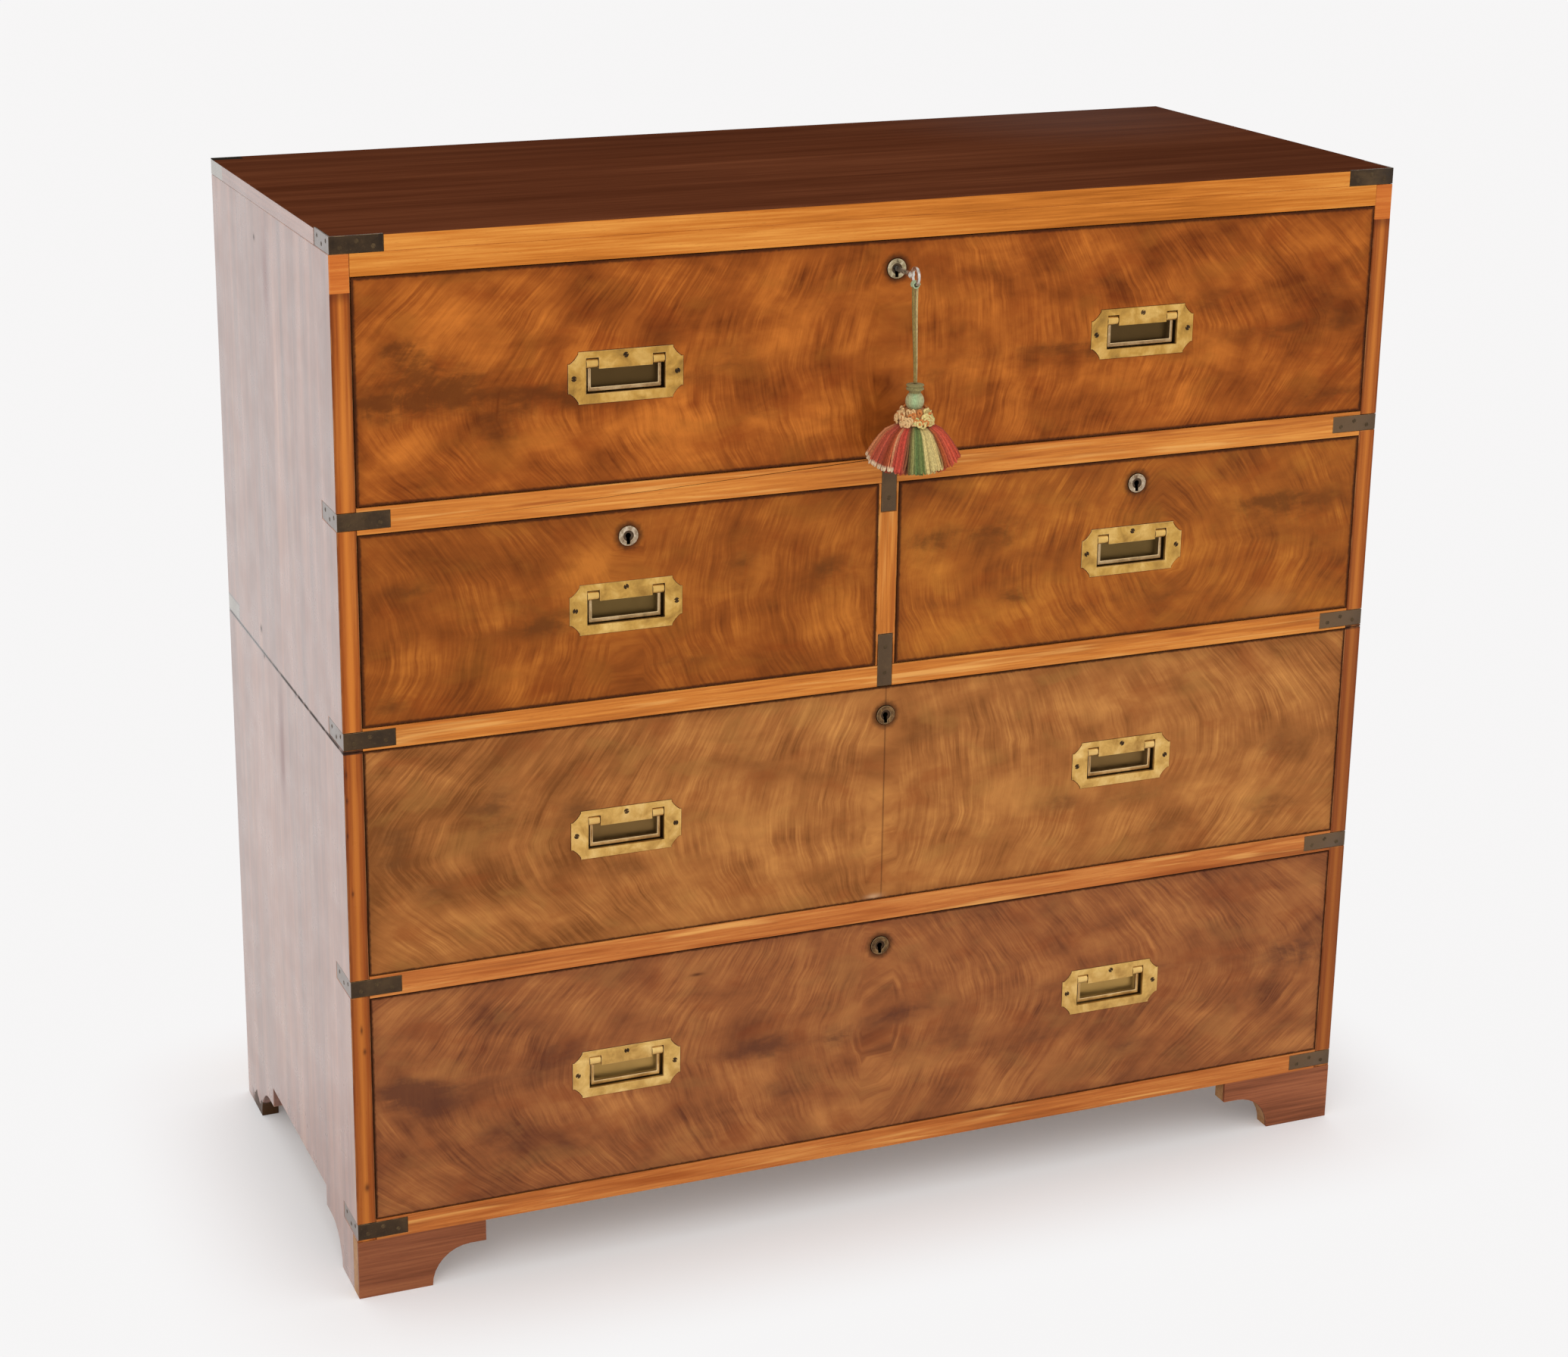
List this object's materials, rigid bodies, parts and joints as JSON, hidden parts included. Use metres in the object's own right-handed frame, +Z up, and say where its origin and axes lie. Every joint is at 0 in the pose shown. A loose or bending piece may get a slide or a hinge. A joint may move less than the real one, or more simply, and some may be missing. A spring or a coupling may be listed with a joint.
{
  "type": "campaign chest",
  "caption": "Two-part mahogany campaign chest of drawers with flush brass handles, let-in corner straps, bracket feet, and a key with a tassel.",
  "frame": {"origin": "on the floor, under the middle of the chest's bounding box with the key in its lock", "axes": "+X to the chest's right as seen from its front, +Y to its back, +Z up; the drawers open along -Y"},
  "size_m": [1.067, 0.5436, 1.0207],
  "materials": {
    "top_wood": "satin",
    "side_wood": "satin",
    "rail_wood": "satin",
    "veneer": "polished",
    "plain_wood": "raw",
    "brass": "satin",
    "aged_brass": "satin",
    "steel": "satin",
    "cord_yarn": "matte",
    "tassel_yarn": "matte"
  },
  "bodies": {
    "lower_chest": {"lower_left_side": "side_wood", "lower_right_side": "side_wood", "lower_back": "plain_wood", "lower_top_board": "plain_wood", "lower_mid_shelf": "rail_wood", "lower_bottom": "rail_wood", "lower_rail_left_strap": "aged_brass", "lower_rail_right_strap": "aged_brass", "bottom_rail_left_strap": "aged_brass", "bottom_rail_right_strap": "aged_brass"},
    "upper_chest": {"top_board": "top_wood", "upper_left_side": "side_wood", "upper_right_side": "side_wood", "upper_back": "plain_wood", "upper_mid_shelf": "rail_wood", "upper_divider": "rail_wood", "upper_bottom": "rail_wood", "top_left_strap": "aged_brass", "top_right_strap": "aged_brass", "upper_rail_left_strap": "aged_brass", "upper_rail_right_strap": "aged_brass", "split_rail_left_strap": "aged_brass", "split_rail_right_strap": "aged_brass", "divider_strap_upper": "aged_brass", "divider_strap_lower": "aged_brass"},
    "first_drawer": {"first_drawer_front": "veneer", "first_drawer_box": "plain_wood", "first_lock": "brass", "first_left_handle_plate": "brass", "first_right_handle_plate": "brass"},
    "second_left_drawer": {"second_left_drawer_front": "veneer", "second_left_drawer_box": "plain_wood", "second_left_lock": "brass", "second_left_handle_plate": "brass"},
    "second_right_drawer": {"second_right_drawer_front": "veneer", "second_right_drawer_box": "plain_wood", "second_right_lock": "brass", "second_right_handle_plate": "brass"},
    "third_drawer": {"third_drawer_front": "veneer", "third_drawer_box": "plain_wood", "third_lock": "brass", "third_left_handle_plate": "brass", "third_right_handle_plate": "brass"},
    "fourth_drawer": {"fourth_drawer_front": "veneer", "fourth_drawer_box": "plain_wood", "fourth_lock": "brass", "fourth_left_handle_plate": "brass", "fourth_right_handle_plate": "brass"},
    "first_left_bail": {"first_left_handle_bail": "brass"},
    "first_right_bail": {"first_right_handle_bail": "brass"},
    "second_left_bail": {"second_left_handle_bail": "brass"},
    "second_right_bail": {"second_right_handle_bail": "brass"},
    "third_left_bail": {"third_left_handle_bail": "brass"},
    "third_right_bail": {"third_right_handle_bail": "brass"},
    "fourth_left_bail": {"fourth_left_handle_bail": "brass"},
    "fourth_right_bail": {"fourth_right_handle_bail": "brass"},
    "lock_bolt": {"first_lock_bolt": "brass"},
    "key": {"key": "steel"},
    "tassel": {"tassel_cord": "cord_yarn", "tassel": "tassel_yarn"}
  },
  "joints": [
    {"name": "upper_chest_lift", "type": "slide", "parent": "lower_chest", "child": "upper_chest", "axis": [0, 0, 1], "range_m": [0, 0.08]},
    {"name": "first_drawer_slide", "type": "slide", "parent": "upper_chest", "child": "first_drawer", "axis": [0, -1, 0], "range_m": [0, 0.34]},
    {"name": "second_left_drawer_slide", "type": "slide", "parent": "upper_chest", "child": "second_left_drawer", "axis": [0, -1, 0], "range_m": [0, 0.34]},
    {"name": "second_right_drawer_slide", "type": "slide", "parent": "upper_chest", "child": "second_right_drawer", "axis": [0, -1, 0], "range_m": [0, 0.34]},
    {"name": "third_drawer_slide", "type": "slide", "parent": "lower_chest", "child": "third_drawer", "axis": [0, -1, 0], "range_m": [0, 0.34]},
    {"name": "fourth_drawer_slide", "type": "slide", "parent": "lower_chest", "child": "fourth_drawer", "axis": [0, -1, 0], "range_m": [0, 0.34]},
    {"name": "first_left_bail_swing", "type": "hinge", "parent": "first_drawer", "child": "first_left_bail", "pos_m": [-0.263, -0.2, 0.89095], "axis": [-1, 0, 0], "range_deg": [0, 90]},
    {"name": "first_right_bail_swing", "type": "hinge", "parent": "first_drawer", "child": "first_right_bail", "pos_m": [0.263, -0.2, 0.89095], "axis": [-1, 0, 0], "range_deg": [0, 90]},
    {"name": "second_left_bail_swing", "type": "hinge", "parent": "second_left_drawer", "child": "second_left_bail", "pos_m": [-0.263, -0.2, 0.6737], "axis": [-1, 0, 0], "range_deg": [0, 90]},
    {"name": "second_right_bail_swing", "type": "hinge", "parent": "second_right_drawer", "child": "second_right_bail", "pos_m": [0.263, -0.2, 0.6737], "axis": [-1, 0, 0], "range_deg": [0, 90]},
    {"name": "third_left_bail_swing", "type": "hinge", "parent": "third_drawer", "child": "third_left_bail", "pos_m": [-0.263, -0.2, 0.4534], "axis": [-1, 0, 0], "range_deg": [0, 90]},
    {"name": "third_right_bail_swing", "type": "hinge", "parent": "third_drawer", "child": "third_right_bail", "pos_m": [0.263, -0.2, 0.4534], "axis": [-1, 0, 0], "range_deg": [0, 90]},
    {"name": "fourth_left_bail_swing", "type": "hinge", "parent": "fourth_drawer", "child": "fourth_left_bail", "pos_m": [-0.263, -0.2, 0.20715], "axis": [-1, 0, 0], "range_deg": [0, 90]},
    {"name": "fourth_right_bail_swing", "type": "hinge", "parent": "fourth_drawer", "child": "fourth_right_bail", "pos_m": [0.263, -0.2, 0.20715], "axis": [-1, 0, 0], "range_deg": [0, 90]},
    {"name": "key_turn", "type": "hinge", "parent": "first_drawer", "child": "key", "pos_m": [0.002, -0.205, 0.9572], "axis": [0, 1, 0], "range_deg": [0, 90]},
    {"name": "lock_bolt_throw", "type": "slide", "parent": "first_drawer", "child": "lock_bolt", "axis": [0, 0, 1], "range_m": [-0.0001, 0.0081]},
    {"name": "tassel_hang", "type": "hinge", "parent": "key", "child": "tassel", "pos_m": [0.002, -0.245, 0.9497], "axis": [0, 1, 0], "range_deg": [-90.01, 0.01]}
  ],
  "couplings": [
    {"joint": "lock_bolt_throw", "follows": "key_turn", "m_per_rad": 0.005093},
    {"joint": "tassel_hang", "follows": "key_turn", "ratio": -1}
  ]
}
